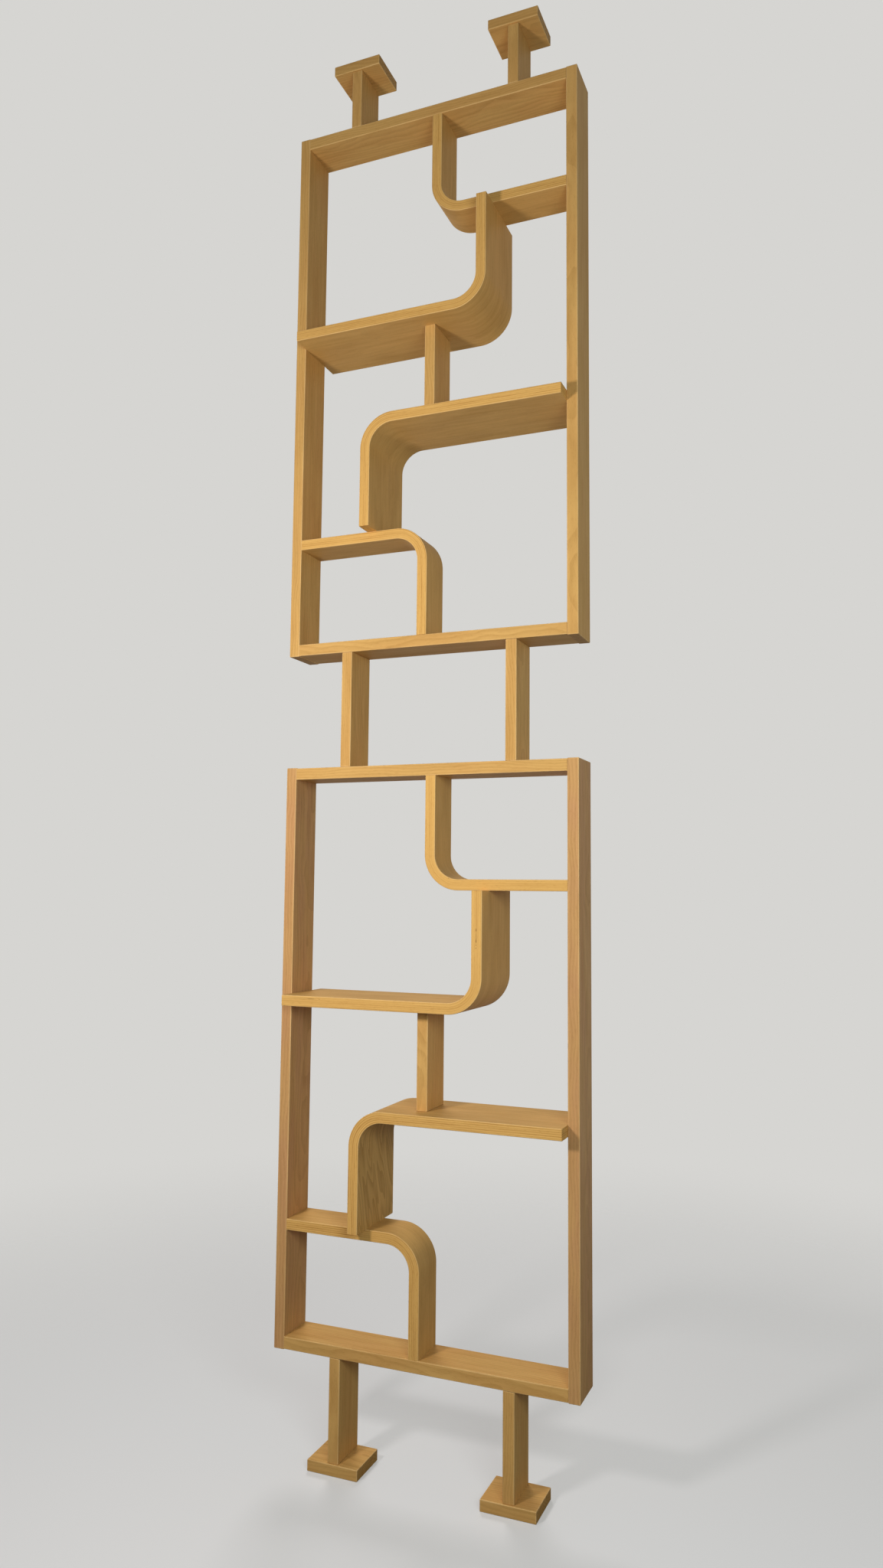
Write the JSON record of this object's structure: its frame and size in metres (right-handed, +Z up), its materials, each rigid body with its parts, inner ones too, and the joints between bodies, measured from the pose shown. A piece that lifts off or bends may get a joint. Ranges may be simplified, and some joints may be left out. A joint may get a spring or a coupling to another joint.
{
  "type": "room divider shelving unit",
  "caption": "Tall open room divider of two stacked beech frames with bent plywood shelves, on plate feet, braced to the ceiling by screw jacks in its top posts.",
  "frame": {"origin": "on the floor, under the middle of the divider", "axes": "X along the width, to the right seen from the front; Y through the depth, to the back; Z up"},
  "size_m": [0.58, 0.152, 2.7],
  "materials": {
    "beech_stile": "satin lacquered, pinkish",
    "beech_post": "satin lacquered, honey",
    "bent_plywood": "satin lacquered, honey",
    "dowel_beech": "turned, bare",
    "zinc_steel": "zinc plated"
  },
  "bodies": {
    "root": {"lower_left_stile": "beech_stile", "lower_right_stile": "beech_stile", "lower_top_rail": "beech_post", "lower_bottom_rail": "beech_post", "lower_spacer": "beech_post", "lower_hung_corner_shelf": "bent_plywood", "lower_hung_wide_shelf": "bent_plywood", "lower_standing_wide_shelf": "bent_plywood", "lower_standing_corner_shelf": "bent_plywood", "lower_frame_dowels": "dowel_beech", "lower_shelf_end_dowels": "dowel_beech", "lower_shelf_leg_dowels": "dowel_beech", "lower_spacer_dowels": "dowel_beech", "upper_left_stile": "beech_stile", "upper_right_stile": "beech_stile", "upper_top_rail": "beech_post", "upper_bottom_rail": "beech_post", "upper_spacer": "beech_post", "upper_hung_corner_shelf": "bent_plywood", "upper_hung_wide_shelf": "bent_plywood", "upper_standing_wide_shelf": "bent_plywood", "upper_standing_corner_shelf": "bent_plywood", "upper_frame_dowels": "dowel_beech", "upper_shelf_end_dowels": "dowel_beech", "upper_shelf_leg_dowels": "dowel_beech", "upper_spacer_dowels": "dowel_beech", "leg_dowels": "dowel_beech", "connecting_post_dowels": "dowel_beech", "top_post_dowels": "dowel_beech", "left_leg": "beech_post", "left_connecting_post": "beech_post", "left_top_post": "beech_post", "left_floor_plate": "beech_post", "left_jack_washer": "zinc_steel", "right_leg": "beech_post", "right_connecting_post": "beech_post", "right_top_post": "beech_post", "right_floor_plate": "beech_post", "right_jack_washer": "zinc_steel"},
    "left_plate": {"left_ceiling_plate": "beech_post", "left_jack_rod": "zinc_steel", "left_plate_insert": "zinc_steel"},
    "left_nut": {"left_jack_nut": "zinc_steel"},
    "right_plate": {"right_ceiling_plate": "beech_post", "right_jack_rod": "zinc_steel", "right_plate_insert": "zinc_steel"},
    "right_nut": {"right_jack_nut": "zinc_steel"}
  },
  "joints": [
    {"name": "left_plate_lift", "type": "slide", "parent": "root", "child": "left_plate", "axis": [0, 0, 1], "range_m": [0, 0.035]},
    {"name": "left_nut_turn", "type": "hinge", "parent": "root", "child": "left_nut", "pos_m": [-0.165, 0, 2.6845], "axis": [0, 0, -1], "range_deg": [0, 8400]},
    {"name": "right_plate_lift", "type": "slide", "parent": "root", "child": "right_plate", "axis": [0, 0, 1], "range_m": [0, 0.035]},
    {"name": "right_nut_turn", "type": "hinge", "parent": "root", "child": "right_nut", "pos_m": [0.165, 0, 2.6845], "axis": [0, 0, -1], "range_deg": [0, 8400]}
  ],
  "couplings": [
    {"joint": "left_nut_turn", "follows": "left_plate_lift", "rad_per_m": 4188.8},
    {"joint": "right_nut_turn", "follows": "right_plate_lift", "rad_per_m": 4188.8}
  ]
}
